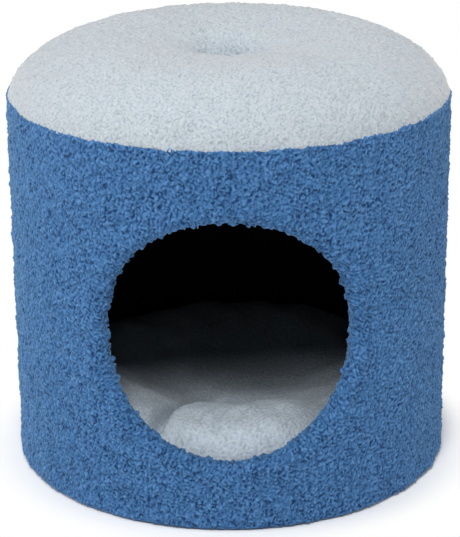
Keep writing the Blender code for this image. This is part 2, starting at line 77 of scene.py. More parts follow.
CUSHION_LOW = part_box("cushion_base_cover")[0].z

# Sizes of the construction that the boxes don't give
PANEL_THICK = 0.003
LINING_THICK = 0.002
GAP = 0.0003
BUTTON_SIDE = 0.0024         # straight side under the button's dome
PILE_ROLL = 0.0003           # height of the long waves in a plush

# Blue plush: its edges, and the oval entrance in the flat sheet
HEM_WIDTH = 0.050
HEM_THICK = 0.0024
HEM_FOLD = (0.006, 0.001)    # from the hem's edge, folded back over it
BASE_ROUNDING = 0.004
TOP_ROUNDING = 0.004
TOP_TUCK = ((0.002, 0.0008), (0.003, 0.006))     # in and down from the rounded top edge
ENTRANCE_HALF_HEIGHT = 0.1085
ENTRANCE_HALF_WIDTH = 0.1194
FLANGE_WIDTH = 0.015
FLANGE_FOLD = 0.003          # radius of the flange's folded edge
FLANGE_BACK = ((0.0, 0.0052), (0.006, 0.0056))   # edge laid back on the flange, in and out
TUFT_RISE = 0.0013           # how far single tufts stand over the pile
LIP_RISE = 0.0016            # how much longer they are round the entrance
LIP_BAND = 0.006             # width of the strip of longer tufts
ENTRANCE_CENTRE = (FLOOR + CEILING) / 2
ROLL_CENTRE = (PANEL_RADIUS - PANEL_THICK + FOAM_RADIUS) / 2
ROLL_RADIUS = PILE_RADIUS - ROLL_CENTRE
LIP_DISTANCE = ENTRANCE_HALF_HEIGHT + ROLL_RADIUS
FLANGE_DISTANCE = LIP_DISTANCE + FLANGE_WIDTH

# Crown: a rounded-square dome less a shallow dish and a steep tuft
CROWN_BASE = SEAM_HEIGHT + GAP
CROWN_RISE = 0.0552
CROWN_POWER = 3.6
CROWN_FALL = 1.6
DISH_RADIUS = 0.136
DISH_DEPTH = 0.017
TUFT_RADIUS = 0.027
TUFT_DEPTH = 0.0308
CROWN_TUFT_RISE = 0.0010
CROWN_TUCK = (               # in and down from the crown's edge, behind the blue plush
    (0.0, 0.001), (0.0005, 0.002), (0.002, 0.003), (0.004, 0.0036), (0.008, 0.0038))

# Nest cushion, with heights over its own underside
CUSHION_CURVE = 0.022
RIM_RISE = 0.0614
RIM_WIDTH = 0.032
NEST_RISE = 0.0334
NEST_RADIUS = 0.045

# Wall lining, along the middle of its cloth
LINING_RADIUS = LINING_OUTER - LINING_THICK / 2
LINING_HOLE = FLANGE_DISTANCE + 2 * GAP

# Shape of the cushion's top as it shows through the entrance, in (x, y) places on it. The fade of
# a line is where it starts, is whole, starts to end and has ended, in shares of its length.
FOLD_LINE = {"start": (-0.066, -0.146), "end": (-0.020, -0.052), "bow": 0.006,
             "fade": (-0.25, 0.15, 0.7, 1.3)}
FOLD_WIDTH = 0.006
SHOULDER_RISE = 0.004        # soft ridge beside the fold
SHOULDER_PLACE = 0.030
SHOULDER_WIDTH = 0.022
FRONT_SAG = 0.008            # how far the front right sinks
SWELLINGS = (                # middle, half widths and rise
    ((0.006, -0.086), (0.050, 0.030), 0.010),
    ((-0.105, -0.040), (0.035, 0.045), 0.011),
)
PUCKER_WIDTH = 0.003
PUCKER_BOW = 0.003
PUCKER_FADE = (-0.3, 0.2, 0.6, 1.3)
PUCKERS = (                  # start, end and depth
    ((-0.012, -0.150), (-0.002, -0.112), 0.0035),
    ((0.002, -0.152), (0.016, -0.118), 0.0022),
    ((-0.028, -0.146), (-0.020, -0.116), 0.0018),
)

# Lamps: place and size
LAMPS = {
    "key": ((-0.22, -1.78, 2.28), 1.05),
    "top": ((0.0, 0.35, 2.4), 1.6),
    "left": ((-2.3, -0.5, 1.0), 1.8),
    "right": ((2.3, -0.65, 1.0), 1.8),
}
LAMP_AIM = (0.0, 0.0, 0.2)
FLOOR_HALF = 8.0
WHITE_NEAR = 0.199           # distances from the axis between which the floor turns plain white
WHITE_FAR = 0.24
WHITE = (1.0, 1.0, 1.0, 1.0)


def smooth_step(value, low, high):
    """0 up to low, 1 from high on, and 3 t^2 - 2 t^3 of the share t between them."""
    share = np.clip((value - low) / (high - low), 0.0, 1.0)
    return share * share * (3.0 - 2.0 * share)


def waves(points, length, count, seed):
    """Sum of plane waves of about one length in random directions, scaled to a spread of about 1."""
    random = np.random.default_rng(seed)
    way = random.normal(size=(count, 3))
    way /= np.linalg.norm(way, axis=1)[:, None]
    way *= (2 * np.pi / length * random.uniform(0.75, 1.3, count))[:, None]
    phase = random.uniform(0, 2 * np.pi, count)
    total = np.zeros(points.shape[:-1])
    for k in range(count):
        total += np.cos(points @ way[k] + phase[k])
    return total * math.sqrt(2 / count)


def ripples(points, length, seed):
    """Soft waves of about one length, kept between -1 and 1."""
    return np.clip(waves(points, length, 20, seed), -1.6, 1.6) / 1.6


def nubs(points, size, seed, stretch=1.7):
    """Rounded nub for each cell of a cube lattice, long along a random direction of its own.

    Its height falls from 1 at a random point of the cell to 0 at 0.8 cells from every such point,
    where a distance along the nub counts stretch times less. Returns the height and the nub's own
    number from 0 to 1."""
    place = points / size
    cell = np.floor(place).astype(np.int64)
    nearest = np.full(place.shape[:-1], 9.0)
    own = np.zeros(place.shape[:-1])
    for step in np.ndindex(3, 3, 3):
        home = cell + np.array(step) - 1
        mark = (home[..., 0] * 73856093) ^ (home[..., 1] * 19349663) ^ (home[..., 2] * 83492791)
        mark = ((mark ^ seed) % 1000003).astype(float)
        jitter = np.stack([np.sin(mark * (12.9898 + 7.233 * k)) * 43758.5453 for k in range(7)], -1)
        jitter -= np.floor(jitter)
        away = home + jitter[..., :3] - place
        way = jitter[..., 4:] - 0.5
        along = (away * way).sum(-1) ** 2 / ((way * way).sum(-1) + 1e-9)
        away = (away * away).sum(-1) - (1 - 1 / stretch ** 2) * along
        near = away < nearest
        own = np.where(near, jitter[..., 3], own)
        nearest = np.where(near, away, nearest)
    return np.sqrt(np.clip(1 - nearest / 0.64, 0, 1)), own


def curls(points, size, seed):
    """Relief of curled pile, from 0 in the gaps to 1 on the tips: half nubs of the curl's size and
    half short worms, which are waves limited by tanh, both read at points shaken by longer waves."""
    shake = np.stack([waves(points, 2.4 * size, 16, seed + k) for k in range(3)], -1)
    place = points + 0.16 * size * shake
    nub, own = nubs(place, size, seed)
    nub = np.clip((nub - 0.55) / 0.43, 0, 1) * (0.6 + 0.4 * own)
    worm = 0.9 * waves(place, 1.05 * size, 40, seed + 7) + 0.5 * waves(place, 1.5 * size, 40, seed + 8)
    return np.clip(0.5 * nub + 0.25 + 0.25 * np.tanh(worm) - 0.05, 0, 1) / 0.95


def tall_tufts(points, size, seed):
    """Tufts that stand over the pile: the nubs of a coarser lattice whose own number is high."""
    nub, own = nubs(points, 1.9 * size, seed, 2.0)
    return np.clip((nub - 0.5) / 0.5, 0, 1) * smooth_step(own, 0.6, 0.95)


def new_object(name, data):
    """New object at the origin, in the scene."""
    item = bpy.data.objects.new(name, data)
    bpy.context.scene.collection.objects.link(item)
    return item


def mesh_object(name, points, quads):
    """New object from an array of points and one of quads, shaded smooth."""
    mesh = bpy.data.meshes.new(name)
    mesh.vertices.add(len(points))
    mesh.vertices.foreach_set("co", np.asarray(points, np.float32).ravel())
    mesh.loops.add(4 * len(quads))
    mesh.loops.foreach_set("vertex_index", np.asarray(quads, np.int32).ravel())
    mesh.polygons.add(len(quads))
    mesh.polygons.foreach_set("loop_start", np.arange(0, 4 * len(quads), 4, dtype=np.int32))
    mesh.update(calc_edges=True)
    mesh.validate()
    mesh.shade_smooth()
    return new_object(name, mesh)


def points_of(item, what="co"):
    """The points of a mesh, or with "normal" their normals, as an array."""
    flat = np.zeros(3 * len(item.data.vertices), np.float32)
    item.data.vertices.foreach_get(what, flat)
    return flat.reshape(-1, 3).astype(float)


def set_points(item, points):
    """Move the points of a mesh to the places in an array."""
    item.data.vertices.foreach_set("co", points.astype(np.float32).ravel())
    item.data.update()


def store(item, name, values):
    """Keep one number for each point as an attribute that a material can read."""
    layer = item.data.attributes.new(name, "FLOAT", "POINT")
    layer.data.foreach_set("value", values.astype(np.float32))


def raise_pile(item, size, depth, seed, share=1.0, level=0.95, roll=0.0, tufts=0.0):
    """Give a surface its curled pile: each point moves along its normal by depth times the curl's
    height less level, by tufts where one stands, and by long waves of the size of roll, all times
    share. The curl's height and soft patches are kept as attributes for the material."""
    points = points_of(item)
    height = curls(points, size, seed)
    patch = waves(points, 9 * size, 24, seed + 20)
    move = depth * (height - level) + roll * waves(points, 14 * size, 16, seed + 30)
    if np.any(tufts):
        move += tufts * tall_tufts(points, size, seed + 40)
    move *= share
    set_points(item, points + points_of(item, "normal") * move[:, None])
    store(item, "pile", height)
    store(item, "patch", 0.5 + 0.25 * patch)


def numbers(shape, first=0):
    """Numbers of the points of a grid, row by row."""
    return first + np.arange(shape[0] * shape[1]).reshape(shape[:2])


def grid_quads(number, kept=None, wrap=False):
    """Quads between neighbouring rows and columns of point numbers."""
    right = np.roll(number, -1, axis=1)
    quads = np.stack([number[:-1], right[:-1], right[1:], number[1:]], axis=-1)
    if not wrap:
        quads = quads[:, :-1]
    return quads[kept] if kept is not None else quads.reshape(-1, 4)


def with_rings(points, quads, border, laps, flip=False):
    """Points and quads of a surface that goes on from its border through rings of new points,
    laps."""
    number = np.concatenate([border[None], numbers(laps.shape, len(points))])
    more = grid_quads(number, wrap=True)
    points = np.concatenate([points, laps.reshape(-1, 3)])
    return points, np.concatenate([quads, more[:, ::-1] if flip else more])


def used_only(points, quads):
    """The points that some quad uses, and the quads in the new numbers of those points."""
    used = np.zeros(len(points), bool)
    used[quads.ravel()] = True
    return points[used], (np.cumsum(used) - 1)[quads]


def on_drum(radius, across, height):
    """Points on the drum: across is the distance along the pile surface from the front."""
    angle = across / PILE_RADIUS
    radius, angle, height = np.broadcast_arrays(radius, angle, height)
    return np.stack([radius * np.sin(angle), -radius * np.cos(angle), height], axis=-1)


def oval_width(distance):
    """Half the width of the oval whose half height is distance: each is wider by the same amount."""
    return distance + ENTRANCE_HALF_WIDTH - ENTRANCE_HALF_HEIGHT


def oval(turn, distance):
    """(across, up) points at angles round an oval, in the flat sheet from the entrance's middle."""
    return np.stack([oval_width(distance) * np.cos(turn), distance * np.sin(turn)], axis=-1)


def oval_turn(place, distance):
    """Angles of (across, up) places round an oval."""
    return np.arctan2(place[..., 1] / distance, place[..., 0] / oval_width(distance))


def beyond_oval(place, distance):
    """How far (across, up) places lie beyond an oval, on a line from its middle."""
    edge = oval(oval_turn(place, distance), distance)
    return np.linalg.norm(place, axis=-1) - np.linalg.norm(edge, axis=-1)


def holed_sheet(columns, low, high, hole):
    """Flat sheet round the drum, as (across, up) from the entrance's middle, with an oval hole.

    It is a square grid that closes round the drum. Cells whose middle lies in the hole are left
    out, the points on the border are drawn onto the oval, and the points near it move to the
    mean of their neighbours, over and over, while the border's points slide along the oval.
    Returns the places, the kept cells, and the border's point numbers in order of their angle."""
    pitch = 2 * math.pi * PILE_RADIUS / columns
    across = (np.arange(columns) - columns // 2) * pitch
    up = np.arange(math.ceil(low / pitch), math.floor(high / pitch) + 1) * pitch
    place = np.stack(np.meshgrid(across, up), axis=-1)
    beyond = beyond_oval(place, hole)
    pairs = beyond + np.roll(beyond, -1, axis=1)
    kept = pairs[:-1] + pairs[1:] > 0
    left_out = np.zeros(place.shape[:2])
    left_out[:-1] += ~kept
    left_out[1:] += ~kept
    left_out += np.roll(left_out, 1, axis=1)
    border = np.flatnonzero((left_out > 0) & (left_out < 4))
    flat = place.reshape(-1, 2)
    border = border[np.argsort(np.arctan2(flat[border, 1], flat[border, 0]))]
    near = (beyond < 14 * pitch) & (left_out == 0)
    near[[0, -1]] = False
    for _ in range(80):
        mean = (np.roll(place, 1, 1) + np.roll(place, -1, 1) + np.roll(place, 1, 0)
                + np.roll(place, -1, 0)) / 4
        place[near] = mean[near]
        way = np.roll(flat[border], 1, 0) + 2 * flat[border] + np.roll(flat[border], -1, 0)
        flat[border] = oval(oval_turn(way, hole), hole)
    return place, kept, border


def disc(cells):
    """Unit disc as a square grid: each square ring of points goes to a circle of that ring's size,
    at equal angles along it. Returns the ring's size and the angle of every point."""
    line = np.linspace(-1, 1, cells + 1)
    x, y = np.meshgrid(line, line)
    flat = np.abs(x) >= np.abs(y)
    ring = np.maximum(np.abs(x), np.abs(y))
    safe = np.where(ring > 0, np.where(flat, x, y), 1.0)
    slope = np.where(flat, y, x) / safe
    angle = np.where(flat, math.pi / 4 * slope, math.pi / 2 - math.pi / 4 * slope)
    angle = angle + np.where(np.where(flat, x, y) < 0, math.pi, 0.0)
    return ring, angle


def border_of(number):
    """Point numbers on the border of a disc's grid, in order of their angle."""
    sides = (number[:-1, -1], number[-1, :0:-1], number[:0:-1, 0], number[0, :-1])
    return np.concatenate(sides)


def along_profile(profile, share):
    """Radius and height at shares of the length of a finely sampled (radius, height) profile."""
    steps = np.hypot(np.diff(profile[:, 0]), np.diff(profile[:, 1]))
    length = np.concatenate([[0.0], np.cumsum(steps)])
    at = share * length[-1]
    return np.interp(at, length, profile[:, 0]), np.interp(at, length, profile[:, 1])


def turned(radius, height, angle):
    """Points of a surface of revolution: radius times the angle's cosine and sine, and the height."""
    x, y, z = np.broadcast_arrays(radius * np.cos(angle), radius * np.sin(angle), height)
    return np.stack([x, y, z], axis=-1)


def domed_disc(name, cells, profile, skirt=()):
    """Surface turned from a profile that starts on the axis, on the grid of a disc, so it has no
    pole. Equal steps of the grid are equal steps along the profile. The skirt's (radius, height)
    rings go on from the border."""
    ring, angle = disc(cells)
    points = turned(*along_profile(profile, ring), angle).reshape(-1, 3)
    number = numbers(ring.shape)
    quads = grid_quads(number)
    if len(skirt):
        border = border_of(number)
        radius, height = np.array(skirt).T[..., None]
        laps = turned(radius, height, angle.ravel()[border])
        points, quads = with_rings(points, quads, border, laps, flip=True)
    return mesh_object(name, points, quads)


def arc(centre, radius, first, last, steps):
    """(radius, height) points on an arc between two angles in degrees, with both its ends. A pair
    of radii, across and up, makes it an ellipse's."""
    turn = np.radians(np.linspace(first, last, steps + 1))
    return np.array(centre) + np.array(radius) * np.stack([np.cos(turn), np.sin(turn)], axis=-1)


def seen_directly(tree):
    """Output that is 1 for what the camera sees, also in a mirror or through glass, and else 0."""
    path = tree.nodes.new("ShaderNodeLightPath")
    seen = path.outputs["Is Camera Ray"]
    for ray in ("Is Glossy Ray", "Is Transmission Ray"):
        either = tree.nodes.new("ShaderNodeMath")
        either.operation = "MAXIMUM"
        tree.links.new(seen, either.inputs[0])
        tree.links.new(path.outputs[ray], either.inputs[1])
        seen = either.outputs[0]
    return seen


class Finish:
    """Node material under construction, on Object coordinates."""

    def __init__(self, name, roughness, fixed=None):
        self.material = bpy.data.materials.new(name)
        self.material.use_nodes = True
        self.tree = self.material.node_tree
        self.shader = self.tree.nodes["Principled BSDF"]
        self.shader.inputs["Roughness"].default_value = roughness
        for key, value in (fixed or {}).items():
            self.shader.inputs[key].default_value = value
        self.place = self.node("TexCoord").outputs["Object"]

    def node(self, kind, inputs=None, **settings):
        """New node with its settings, and with values or other nodes' outputs on its inputs."""
        made = self.tree.nodes.new("ShaderNode" + kind)
        for key, value in settings.items():
            setattr(made, key, value)
        for key, value in (inputs or {}).items():
            self.feed(made.inputs[key], value)
        return made

    def feed(self, socket, value):
        """Link another node's output to a socket, or set the socket to a plain value."""
        if isinstance(value, bpy.types.NodeSocket):
            self.tree.links.new(value, socket)
        else:
            socket.default_value = value

    def noise(self, scale, detail=3.0, roughness=0.5, at=None, distortion=0.0):
        """Noise from 0 to 1, with scale patches to the metre."""
        inputs = {
            "Vector": at or self.place, "Scale": scale, "Detail": detail,
            "Roughness": roughness, "Distortion": distortion,
        }
        return self.node("TexNoise", inputs).outputs["Fac"]

    def attribute(self, name):
        return self.node("Attribute", attribute_name=name).outputs["Fac"]

    def remap(self, value, low, high, to_low=0.0, to_high=1.0):
        """A value from low to high carried smoothly over to the range to_low to to_high."""
        inputs = {"Value": value, 1: low, 2: high, 3: to_low, 4: to_high}
        return self.node("MapRange", inputs, interpolation_type="SMOOTHSTEP").outputs["Result"]

    def times(self, a, b):
        return self.node("Math", {0: a, 1: b}, operation="MULTIPLY").outputs[0]

    def stretched(self, x, y, z):
        """Object coordinates times a factor along each axis."""
        return self.node("Mapping", {"Vector": self.place, "Scale": (x, y, z)}).outputs["Vector"]

    def mix(self, factor, a, b):
        """Colour a where the factor is 0, and b where it is 1."""
        return self.node("Mix", {0: factor, 6: a, 7: b}, data_type="RGBA").outputs[2]

    def finished(self, colour, height, distance, strength=1.0):
        """The material with its colour, and with a value from 0 to 1 as relief distance high."""
        relief = {"Height": height, "Distance": distance, "Strength": strength}
        self.feed(self.shader.inputs["Normal"], self.node("Bump", relief).outputs["Normal"])
        self.feed(self.shader.inputs["Base Color"], colour)
        return self.material


def tone(colour, factor=1.0):
    """Colour with an alpha of 1, times a factor."""
    return (*(min(1.0, c * factor) for c in colour), 1.0)


def plush_finish(name, look, tip_highlight, fibre, fibre_shade, patches, nap=None):
    """Curled pile: painted shade between the curls, full colour on them, painted highlight that makes
    the tips paler by a factor for each channel, and painted shade in darker flecks where the fibres
    part, fibre of them to the metre, and soft patches. The last argument names an attribute of
    painted shade that darkens the pile by its share."""
    made = Finish(name, 0.92, {
        "Sheen Weight": look.sheen, "Sheen Roughness": 0.4, "Sheen Tint": tone(look.tint),
        "Specular IOR Level": 0.15})
    pile = made.attribute("pile")
    hairs = made.noise(fibre, 4.0, 0.6)
    # Painted shade in the gaps between the curls and painted highlight on their tips, by the curl's height
    body = made.mix(made.remap(pile, 0.12, 0.5), tone(look.gap), tone(look.tip))
    pale = [c * b for c, b in zip(look.tip, tip_highlight)]
    body = made.mix(made.remap(pile, 0.45, 0.85), body, tone(pale))
    # Painted shade: darker flecks where the fibres part
    body = made.mix(made.remap(hairs, 0.3, 0.75, 0.0, fibre_shade), body, tone(look.tip, 0.55))
    patch = made.attribute("patch")
    body = made.mix(made.remap(patch, 0.2, 0.85, 0.0, patches), body, tone(look.tip, 1.3))
    # Painted shade where the cushion lies in the shadow of the entrance's edges, mottled by coarser noise
    if nap:
        grain = made.remap(made.noise(0.45 * fibre, 3.0, 0.6), 0.35, 0.65, 0.65, 1.3)
        dark = made.times(made.attribute(nap), grain)
        body = made.mix(dark, body, tone(look.gap, 0.62))
    return made.finished(body, hairs, 0.0006, 0.8)


def cloth_finish(name, colour, thread=900.0):
    """Needled cloth: fine crossing fibres, a few paler ones, and soft patches."""
    made = Finish(name, 0.95, {"Sheen Weight": 0.05, "Specular IOR Level": 0.1})
    fibres = made.noise(thread, 5.0, 0.65, distortion=1.2)
    patches = made.noise(28.0, 2.0)
    body = made.mix(made.remap(fibres, 0.3, 0.7), tone(colour, 0.6), tone(colour, 1.35))
    body = made.mix(made.remap(patches, 0.35, 0.7, 0.0, 0.3), body, tone(colour, 0.7))
    return made.finished(body, fibres, 0.0003, 0.7)


def hardboard_finish(colour):
    """Pressed fibres in two browns."""
    made = Finish("pressed_hardboard", 0.7)
    fibres = made.noise(420.0, 6.0, 0.7, distortion=0.8)
    body = made.mix(made.remap(fibres, 0.3, 0.7), tone(colour, 0.7), tone(colour, 1.25))
    return made.finished(body, fibres, 0.0002)


def plywood_finish(colour):
    """Long grain along X, and thin darker layers one over the other."""
    made = Finish("birch_plywood", 0.6)
    grain = made.noise(1.0, 6.0, 0.6, at=made.stretched(18.0, 260.0, 30.0), distortion=0.6)
    layers = made.node(
        "TexWave", {"Vector": made.place, "Scale": 105.0, "Distortion": 0.4},
        bands_direction="Z").outputs["Fac"]
    body = made.mix(made.remap(grain, 0.3, 0.7), tone(colour, 0.78), tone(colour, 1.15))
    body = made.mix(made.remap(layers, 0.45, 0.6, 0.0, 0.3), body, tone(colour, 0.6))
    return made.finished(body, grain, 0.0002, 0.6)


def foam_finish(colour):
    """Open cells about a millimetre wide."""
    made = Finish("open_foam", 0.95)
    cells = made.node("TexVoronoi", {"Vector": made.place, "Scale": 900.0}).outputs["Distance"]
    body = made.mix(made.remap(cells, 0.1, 0.7), tone(colour, 0.8), tone(colour, 1.1))
    return made.finished(body, cells, 0.0005, 0.8)


def card_finish(colour):
    """Pulp with fine flecks."""
    made = Finish("grey_card", 0.85)
    flecks = made.noise(700.0, 5.0, 0.7)
    body = made.mix(made.remap(flecks, 0.35, 0.7), tone(colour, 0.8), tone(colour, 1.15))
    return made.finished(body, flecks, 0.0001)


def twine_finish(colour):
    """Slanted strands."""
    made = Finish("waxed_twine", 0.75, {"Sheen Weight": 0.2})
    lay = made.node(
        "TexWave", {"Vector": made.stretched(1.0, 1.0, 0.6), "Scale": 420.0},
        bands_direction="DIAGONAL").outputs["Fac"]
    body = made.mix(lay, tone(colour, 0.65), tone(colour, 1.1))
    return made.finished(body, lay, 0.0003)


def wire_finish(colour):
    """Drawn wire with faint streaks along Z."""
    made = Finish("plated_wire", 0.34, {"Metallic": 1.0})
    streaks = made.noise(1.0, 4.0, 0.6, at=made.stretched(900.0, 900.0, 120.0))
    body = made.mix(made.remap(streaks, 0.3, 0.7), tone(colour, 0.85), tone(colour, 1.12))
    return made.finished(body, streaks, 0.00005)


def dress(nodes, material):
    """Give CAD nodes a material."""
    for name in nodes:
        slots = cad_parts[name].data.materials
        slots.clear()
        slots.append(material)


def place_piece(item, body, nodes, material):
    """Finish a new piece: its material, the body it rides on and what it stands for."""
    item.data.materials.append(material)
    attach(item, body)
    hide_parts(*nodes)


# What every colour among the settings has
COLOUR = {"subtype": "COLOR", "size": 3, "min": 0, "max": 1}


class PlushLook(bpy.types.PropertyGroup):
    """Blue plush round the drum."""

    columns: IntProperty(
        name="Columns", description="Grid points round the drum", default=1380, min=96)
    curl: FloatProperty(
        name="Curl size", description="Width of one curl of the pile", default=0.0026,
        min=0.001, unit="LENGTH", precision=4)
    depth: FloatProperty(
        name="Pile relief", description="Height of the curls over the gaps", default=0.0021,
        min=0.0, unit="LENGTH", precision=4)
    tip: FloatVectorProperty(
        name="Pile colour", description="Colour on the curls", default=(0.049, 0.147, 0.330), **COLOUR)
    # Painted shade between the curls
    gap: FloatVectorProperty(
        name="Gap colour", description="Colour between the curls", default=(0.004, 0.028, 0.105), **COLOUR)
    sheen: FloatProperty(
        name="Sheen", description="Pale edge of the pile", default=0.36, min=0, max=1)
    tint: FloatVectorProperty(
        name="Sheen colour", description="Colour of the pale edge", default=(0.50, 0.74, 0.88), **COLOUR)


class CrownLook(bpy.types.PropertyGroup):
    """Pale plush over the crown and its button."""

    cells: IntProperty(
        name="Cells", description="Grid cells across the crown", default=460, min=40)
    curl: FloatProperty(
        name="Curl size", description="Width of one curl of the pile", default=0.0023,
        min=0.001, unit="LENGTH", precision=4)
    depth: FloatProperty(
        name="Pile relief", description="Height of the curls over the gaps", default=0.0009,
        min=0.0, unit="LENGTH", precision=4)
    tip: FloatVectorProperty(
        name="Pile colour", description="Colour on the curls", default=(0.440, 0.490, 0.530), **COLOUR)
    # Painted shade between the curls
    gap: FloatVectorProperty(
        name="Gap colour", description="Colour between the curls", default=(0.330, 0.385, 0.440), **COLOUR)
    sheen: FloatProperty(
        name="Sheen", description="Pale edge of the pile", default=0.5, min=0, max=1)
    tint: FloatVectorProperty(
        name="Sheen colour", description="Colour of the pale edge", default=(1.0, 0.88, 0.80), **COLOUR)


class NestLook(bpy.types.PropertyGroup):
    """Loose nest cushion."""

    cells: IntProperty(
        name="Cells", description="Grid cells across the cushion", default=340, min=40)
    curl: FloatProperty(
        name="Curl size", description="Width of one curl of the pile", default=0.0028,
        min=0.001, unit="LENGTH", precision=4)
    depth: FloatProperty(
        name="Pile relief", description="Height of the curls over the gaps", default=0.0012,
        min=0.0, unit="LENGTH", precision=4)
    crease: FloatProperty(
        name="Crease depth", description="Depth of the fold on the left", default=0.018,
        min=0.0, unit="LENGTH", precision=4)
    tip: FloatVectorProperty(
        name="Pile colour", description="Colour on the curls", default=(0.54, 0.62, 0.69), **COLOUR)
    # Painted shade between the curls
    gap: FloatVectorProperty(
        name="Gap colour", description="Colour between the curls", default=(0.42, 0.485, 0.55), **COLOUR)
    sheen: FloatProperty(
        name="Sheen", description="Pale edge of the pile", default=0.1, min=0, max=1)
    tint: FloatVectorProperty(
        name="Sheen colour", description="Colour of the pale edge", default=(0.85, 0.9, 1.0), **COLOUR)
    base: FloatVectorProperty(
        name="Base colour", description="Colour of the cloth underneath",
        default=(0.0103, 0.011, 0.0123), **COLOUR)


class ClothLook(bpy.types.PropertyGroup):
    """Linings and the cloth under the base."""

    columns: IntProperty(
        name="Columns", description="Grid points round the wall lining", default=320, min=48)
    ripple: FloatProperty(
        name="Ripple", description="Height of the soft waves in the cloth", default=0.0004,
        min=0.0, unit="LENGTH", precision=5)
    lining: FloatVectorProperty(
        name="Lining colour", description="Colour of the charcoal lining",
        default=(0.0075, 0.0078, 0.0085), **COLOUR)
    under: FloatVectorProperty(
        name="Underside colour", description="Colour of the dust cloth",
        default=(0.012, 0.012, 0.013), **COLOUR)


class FrameLook(bpy.types.PropertyGroup):
    """Boards, foams, card, twine and wire."""

    hardboard: FloatVectorProperty(
        name="Hardboard", description="Colour of the bent panel", default=(0.188, 0.093, 0.042), **COLOUR)
    plywood: FloatVectorProperty(
        name="Plywood", description="Colour of the boards", default=(0.552, 0.371, 0.195), **COLOUR)
    foam: FloatVectorProperty(
        name="Foam", description="Colour of the foams", default=(0.75, 0.72, 0.60), **COLOUR)
    card: FloatVectorProperty(
        name="Card", description="Colour of the tack strip", default=(0.402, 0.262, 0.133), **COLOUR)
    twine: FloatVectorProperty(
        name="Twine", description="Colour of the tufting twine", default=(0.672, 0.617, 0.479), **COLOUR)
    steel: FloatVectorProperty(
        name="Steel", description="Colour of the staples and washer",
        default=(0.434, 0.445, 0.468), **COLOUR)


class StageLook(bpy.types.PropertyGroup):
    """Camera, lamps and floor."""

    distance: FloatProperty(
        name="Camera distance", description="How far in front of the drum's axis the camera is",
        default=1.7686, min=0.5, unit="LENGTH")
    height: FloatProperty(
        name="Camera height", description="Height of the camera over the floor",
        default=0.827, min=0.0, unit="LENGTH")
    pitch: FloatProperty(
        name="Camera pitch", description="How far the camera looks down",
        default=math.radians(20.39), subtype="ANGLE")
    azimuth: FloatProperty(
        name="Camera azimuth", description="How far the camera stands round towards +X",
        default=math.radians(0.63), subtype="ANGLE")
    roll: FloatProperty(
        name="Camera roll", description="Turn of the camera about its own line of sight",
        default=math.radians(-0.46), subtype="ANGLE")
    lens: FloatProperty(
        name="Lens", description="Focal length for a sensor 36 mm high", default=135.8, min=20)
    key: FloatProperty(
        name="Key lamp", description="Power of the lamp high in front", default=50.0, min=0, unit="POWER")
    top: FloatProperty(
        name="Top lamp", description="Power of the lamp overhead", default=23.0, min=0, unit="POWER")
    left: FloatProperty(
        name="Left lamp", description="Power of the lamp on the left", default=25.0, min=0, unit="POWER")
    right: FloatProperty(
        name="Right lamp", description="Power of the lamp on the right", default=17.0, min=0, unit="POWER")
    ambient: FloatProperty(
        name="Ambient", description="Strength of the even light from all round", default=0.10, min=0)


def hem_profile():
    """(radius, height) points from the hem's folded edge, out along the underside, and a quarter of
    a circle round the base edge."""
    inner = PILE_RADIUS - HEM_WIDTH
    corner = PILE_RADIUS - BASE_ROUNDING
    return np.concatenate([
        [(inner + outward, HEM_LOW + HEM_THICK) for outward in HEM_FOLD],
        np.linspace((inner, HEM_LOW), (corner, HEM_LOW), 18)[:-1],
        arc((corner, HEM_LOW + BASE_ROUNDING), BASE_ROUNDING, -90, -8, 7),
    ])


def top_edge_profile():
    """(radius, height) points on a quarter of a circle round the top edge, and down its tuck."""
    edge = PILE_RADIUS - TOP_ROUNDING
    return np.concatenate([
        arc((edge, SEAM_HEIGHT - TOP_ROUNDING), TOP_ROUNDING, 8, 90, 7),
        [(edge - inward, SEAM_HEIGHT - down) for inward, down in TOP_TUCK],
    ])


def entrance_profile():
    """(distance, radius) points from the lip of the entrance: half a circle round the panel's edge,
    out along the inside, and a quarter of a circle round the flange's edge."""
    inside = ROLL_CENTRE - ROLL_RADIUS
    corner = FLANGE_DISTANCE - FLANGE_FOLD
    return np.concatenate([
        arc((LIP_DISTANCE, ROLL_CENTRE), ROLL_RADIUS, 90, 270, 30)[1:],
        np.linspace((LIP_DISTANCE, inside), (corner, inside), 11)[1:],
        arc((corner, inside + FLANGE_FOLD), FLANGE_FOLD, -90, 0, 4)[1:],
        [(FLANGE_DISTANCE - inward, inside + outward) for inward, outward in FLANGE_BACK],
    ])


def wall_sheet(columns):
    """Points and quads of the whole blue plush: the hem, the holed wall and the top edge as rows of
    one grid, and rings that go on from the hole's border through the entrance."""
    place, kept, border = holed_sheet(
        columns, HEM_LOW + BASE_ROUNDING - ENTRANCE_CENTRE,
        SEAM_HEIGHT - TOP_ROUNDING - ENTRANCE_CENTRE, LIP_DISTANCE)
    below, above = hem_profile(), top_edge_profile()
    sheet = np.concatenate([
        on_drum(below[:, :1], place[0, :, 0], below[:, 1:]),
        on_drum(PILE_RADIUS, place[..., 0], ENTRANCE_CENTRE + place[..., 1]),
        on_drum(above[:, :1], place[0, :, 0], above[:, 1:]),
    ])
    keep = np.ones((len(sheet) - 1, columns), bool)
    keep[len(below):len(below) + len(kept)] = kept
    quads = grid_quads(numbers(sheet.shape), keep, wrap=True)

    distance, radius = entrance_profile().T[..., None]
    laps = oval(oval_turn(place.reshape(-1, 2)[border], LIP_DISTANCE), distance)
    laps = on_drum(radius, laps[..., 0], ENTRANCE_CENTRE + laps[..., 1])
    border = border + len(below) * columns
    return used_only(*with_rings(sheet.reshape(-1, 3), quads, border, laps))


